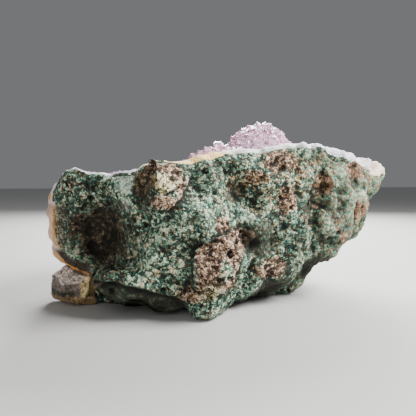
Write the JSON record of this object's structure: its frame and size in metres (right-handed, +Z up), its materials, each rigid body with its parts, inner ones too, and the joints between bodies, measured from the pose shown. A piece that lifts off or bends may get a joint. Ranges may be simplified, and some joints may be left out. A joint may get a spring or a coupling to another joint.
{
  "type": "amethyst on matrix specimen",
  "caption": "Broken geode wall lying on its skin: green vesicular basalt, an agate rind and a crust of amethyst crystals that rises into a mound.",
  "frame": {"origin": "on the surface that the stone rests on, below the middle of its box", "axes": "+X along the stone's length, towards its pointed end; -Y faces the weathered front; +Z up, the crystals' side"},
  "size_m": [0.182, 0.108, 0.0894],
  "materials": {
    "basalt": "rough green-skinned vesicular rock",
    "agate": "waxy banded broken edge",
    "amethyst": "clear pale purple crystal"
  },
  "bodies": {
    "root": {"basalt_matrix": "basalt", "agate_rind": "agate", "amethyst_crust": "amethyst"}
  },
  "joints": []
}
